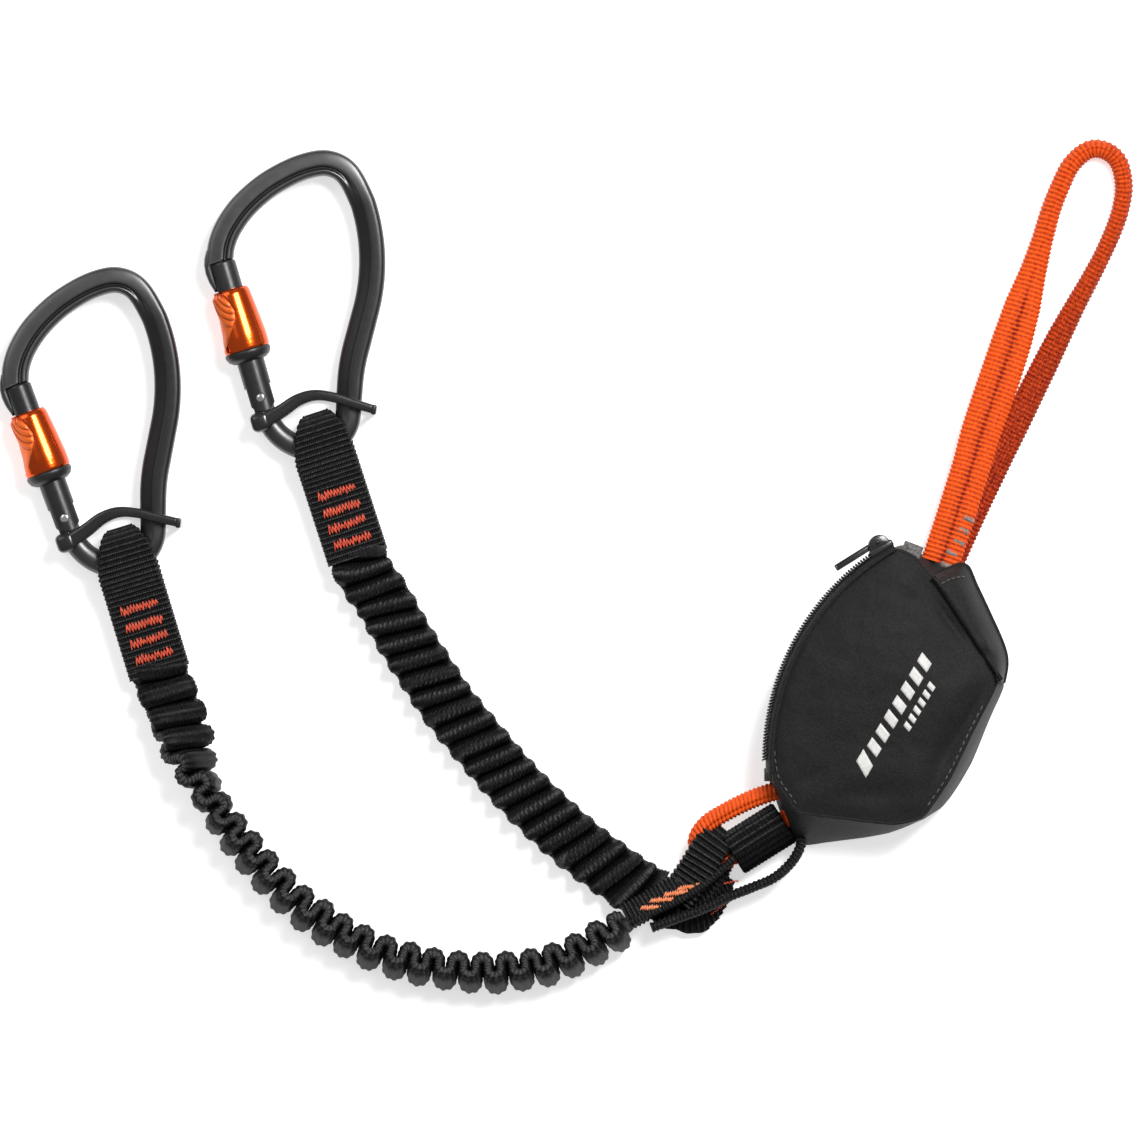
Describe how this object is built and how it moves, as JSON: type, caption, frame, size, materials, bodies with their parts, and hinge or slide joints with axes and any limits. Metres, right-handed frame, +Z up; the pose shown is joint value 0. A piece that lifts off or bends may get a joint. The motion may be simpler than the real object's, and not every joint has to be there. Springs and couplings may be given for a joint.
{
  "type": "via ferrata lanyard",
  "caption": "Via ferrata lanyard: elastic webbing arms with locking carabiners, a sewn junction, a zipped tear-webbing pouch and a webbing harness loop.",
  "frame": {"origin": "middle of the laid-out set, on the table it lies on", "axes": "+X to the right across the set, from the carabiners towards the pouch; +Y up the laid-out set, towards the carabiner noses; +Z up, away from the table"},
  "size_m": [0.4442, 0.334, 0.034],
  "materials": {
    "black_alloy": "satin black anodised forging",
    "orange_alloy": "bright orange anodised, turned",
    "steel": "plain steel",
    "rubber": "matte moulded rubber",
    "black_webbing": "ribbed polyamide webbing",
    "orange_webbing": "ribbed orange webbing",
    "elastic": "covered elastic cord",
    "red_thread": "bar tack thread",
    "pale_thread": "bar tack thread",
    "grey_thread": "bar tack thread",
    "pouch_fabric": "coated plain-weave nylon",
    "zip_tape": "knitted zip tape",
    "black_plastic": "moulded coil and pull",
    "zip_metal": "black plated slider",
    "grey_tape": "woven tape"
  },
  "bodies": {
    "root": {"absorber_loop": "orange_webbing", "band": "black_webbing", "junction_eye": "black_webbing", "rest_loop": "black_webbing", "pouch_front": "pouch_fabric", "pouch_gusset": "pouch_fabric", "pouch_back": "pouch_fabric", "tear_webbing": "orange_webbing", "zip_tape": "zip_tape", "zip_coil": "black_plastic", "top_tab": "grey_tape", "side_tab": "grey_tape", "left_tail": "black_webbing", "left_tail_tacks": "pale_thread", "right_tail": "black_webbing", "right_tail_tacks": "pale_thread"},
    "left_arm": {"left_arm_upper": "black_webbing", "left_arm_lower": "black_webbing", "left_core_upper": "elastic", "left_core_lower": "elastic"},
    "left_end": {"left_end_loop": "black_webbing", "left_end_webbing": "black_webbing", "left_end_tacks": "red_thread"},
    "left_carabiner": {"left_frame": "black_alloy", "left_keeper": "rubber"},
    "left_gate": {"left_gate": "black_alloy", "left_gate_rivet": "steel", "left_spring_ring": "steel", "left_gate_spring": "steel", "left_sleeve_spring": "steel"},
    "left_plunger": {"left_gate_plunger": "steel"},
    "left_sleeve": {"left_lock_sleeve": "orange_alloy", "left_sleeve_cap": "rubber"},
    "right_arm": {"right_arm_upper": "black_webbing", "right_arm_lower": "black_webbing", "right_core_upper": "elastic", "right_core_lower": "elastic"},
    "right_end": {"right_end_loop": "black_webbing", "right_end_webbing": "black_webbing", "right_end_tacks": "red_thread"},
    "right_carabiner": {"right_frame": "black_alloy", "right_keeper": "rubber"},
    "right_gate": {"right_gate": "black_alloy", "right_gate_rivet": "steel", "right_spring_ring": "steel", "right_gate_spring": "steel", "right_sleeve_spring": "steel"},
    "right_plunger": {"right_gate_plunger": "steel"},
    "right_sleeve": {"right_lock_sleeve": "orange_alloy", "right_sleeve_cap": "rubber"},
    "zip_slider": {"zip_slider": "zip_metal"},
    "zip_pull": {"zip_pull": "black_plastic"},
    "harness_loop": {"harness_loop": "orange_webbing", "harness_tacks": "grey_thread"}
  },
  "joints": [
    {"name": "left_arm_swing", "type": "hinge", "parent": "root", "child": "left_arm", "pos_m": [0.0255, -0.137, 0.012], "axis": [0, 0, 1], "range_deg": [0, 30]},
    {"name": "left_arm_stretch", "type": "slide", "parent": "left_arm", "child": "left_end", "axis": [-0.2924, 0.9563, 0], "range_m": [0, 0.25], "stiffness_N_per_m": 90, "springref_m": -0.005, "deforming": ["left_arm_upper", "left_core_upper"]},
    {"name": "left_carabiner_lift", "type": "hinge", "parent": "left_end", "child": "left_carabiner", "pos_m": [-0.173, 0.002, 0.0093], "axis": [0.9563, 0.2924, 0], "range_deg": [0, 80], "deforming": ["left_end_loop"]},
    {"name": "left_gate_swing", "type": "hinge", "parent": "left_carabiner", "child": "left_gate", "pos_m": [-0.1967, 0.0192, 0.0093], "axis": [0, 0, -1], "range_deg": [0, 30], "stiffness_Nm_per_rad": 0.06, "springref_deg": -34.38},
    {"name": "left_plunger_push", "type": "slide", "parent": "left_gate", "child": "left_plunger", "axis": [-0.342, 0.9397, 0], "range_m": [0, 0.00085], "deforming": ["left_gate_spring"]},
    {"name": "left_sleeve_slide", "type": "slide", "parent": "left_gate", "child": "left_sleeve", "axis": [0.342, -0.9397, 0], "range_m": [0, 0.006], "stiffness_N_per_m": 500, "springref_m": -0.004, "deforming": ["left_sleeve_spring"]},
    {"name": "right_arm_swing", "type": "hinge", "parent": "root", "child": "right_arm", "pos_m": [0.037, -0.1315, 0.006], "axis": [0, 0, -1], "range_deg": [0, 30]},
    {"name": "right_arm_stretch", "type": "slide", "parent": "right_arm", "child": "right_end", "axis": [-0.309, 0.9511, 0], "range_m": [0, 0.25], "stiffness_N_per_m": 90, "springref_m": -0.005, "deforming": ["right_arm_upper", "right_core_upper"]},
    {"name": "right_carabiner_lift", "type": "hinge", "parent": "right_end", "child": "right_carabiner", "pos_m": [-0.096, 0.047, 0.0093], "axis": [0.9511, 0.309, 0], "range_deg": [0, 80], "deforming": ["right_end_loop"]},
    {"name": "right_gate_swing", "type": "hinge", "parent": "right_carabiner", "child": "right_gate", "pos_m": [-0.1199, 0.0664, 0.0093], "axis": [0, 0, -1], "range_deg": [0, 30], "stiffness_Nm_per_rad": 0.06, "springref_deg": -34.38},
    {"name": "right_plunger_push", "type": "slide", "parent": "right_gate", "child": "right_plunger", "axis": [-0.2807, 0.9598, 0], "range_m": [0, 0.00085], "deforming": ["right_gate_spring"]},
    {"name": "right_sleeve_slide", "type": "slide", "parent": "right_gate", "child": "right_sleeve", "axis": [0.2807, -0.9598, 0], "range_m": [0, 0.006], "stiffness_N_per_m": 500, "springref_m": -0.004, "deforming": ["right_sleeve_spring"]},
    {"name": "zip_slide", "type": "hinge", "parent": "root", "child": "zip_slider", "pos_m": [0.174, -0.075, 0.026], "axis": [0, 0, 1], "range_deg": [0, 54]},
    {"name": "pull_swing", "type": "hinge", "parent": "zip_slider", "child": "zip_pull", "pos_m": [0.12111, 0.00963, 0.026], "axis": [0, 0, -1], "range_deg": [0, 150]},
    {"name": "harness_loop_fold", "type": "hinge", "parent": "root", "child": "harness_loop", "pos_m": [0.149, 0.0085, 0.014], "axis": [0.9336, -0.3584, 0], "range_deg": [0, 100]}
  ],
  "couplings": [
    {"joint": "left_plunger_push", "follows": "left_gate_swing", "m_per_rad": 0.00143},
    {"joint": "right_plunger_push", "follows": "right_gate_swing", "m_per_rad": 0.00143}
  ]
}
